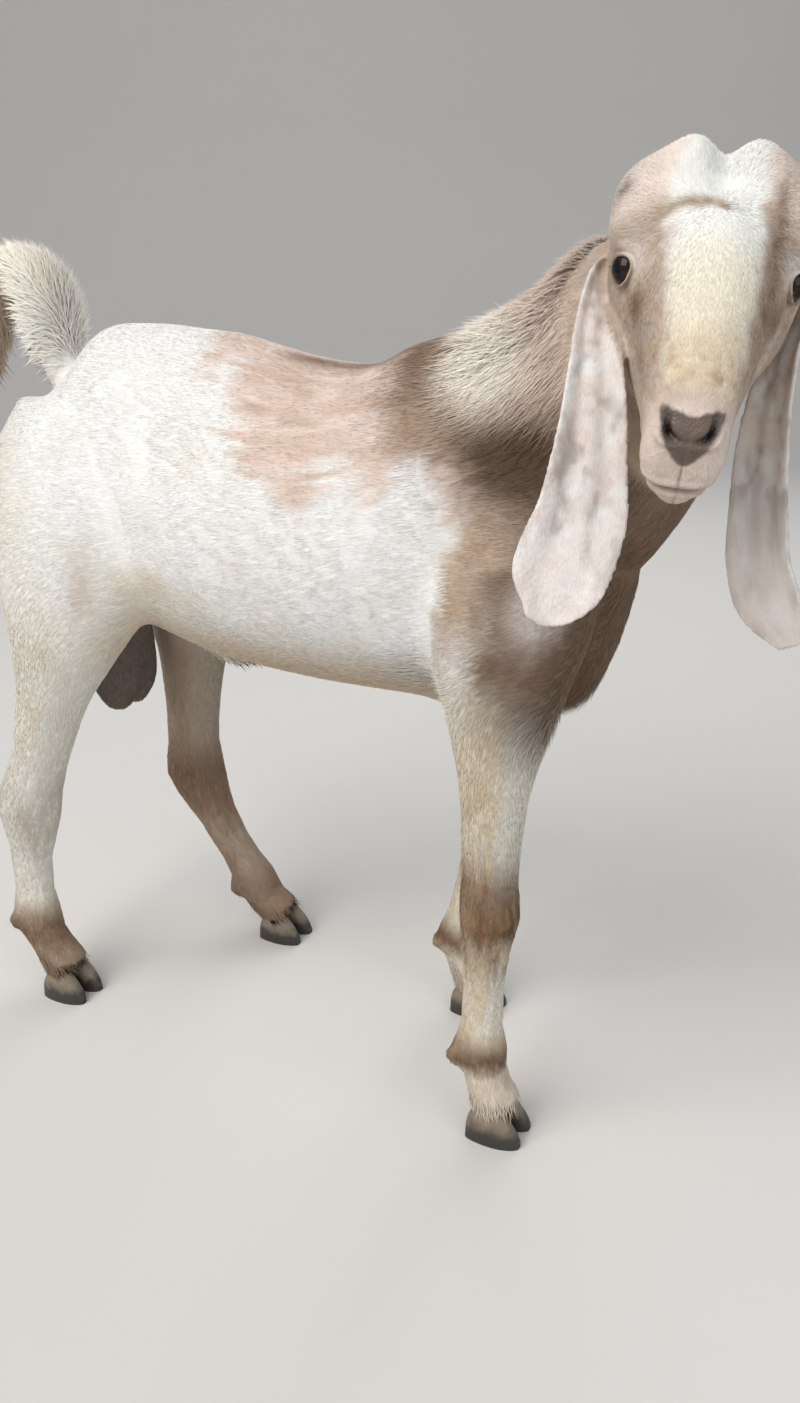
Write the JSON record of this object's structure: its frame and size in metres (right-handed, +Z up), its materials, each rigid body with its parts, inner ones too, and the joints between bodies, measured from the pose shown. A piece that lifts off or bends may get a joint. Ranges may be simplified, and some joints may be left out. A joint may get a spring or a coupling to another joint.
{
  "type": "billy goat, life-size still model",
  "caption": "Life-size still model of a young polled billy goat with long hanging ears, walking with its head turned to look to its right.",
  "frame": {"origin": "on the floor, under the middle of the goat's bounding box", "axes": "+X towards the front of the goat, along its trunk; +Y to its left; +Z up"},
  "size_m": [0.7036, 0.2412, 0.7087],
  "materials": {
    "white_coat": "matte",
    "tan_coat": "matte",
    "cream_coat": "matte",
    "ear_skin": "matte",
    "dark_skin": "matte",
    "hoof_horn": "satin",
    "eye": "gloss"
  },
  "bodies": {
    "root": {"head": "cream_coat", "eye_right": "eye", "eye_left": "eye", "ear_right": "ear_skin", "ear_left": "ear_skin", "neck": "tan_coat", "torso": "white_coat", "tail": "cream_coat", "scrotum": "dark_skin", "sheath": "cream_coat", "foreleg_right": "white_coat", "foreleg_left": "white_coat", "hindleg_right": "white_coat", "hindleg_left": "white_coat", "hoof_foreleg_right_right": "hoof_horn", "hoof_foreleg_right_left": "hoof_horn", "hoof_foreleg_left_right": "hoof_horn", "hoof_foreleg_left_left": "hoof_horn", "hoof_hindleg_right_right": "hoof_horn", "hoof_hindleg_right_left": "hoof_horn", "hoof_hindleg_left_right": "hoof_horn", "hoof_hindleg_left_left": "hoof_horn"}
  },
  "joints": []
}
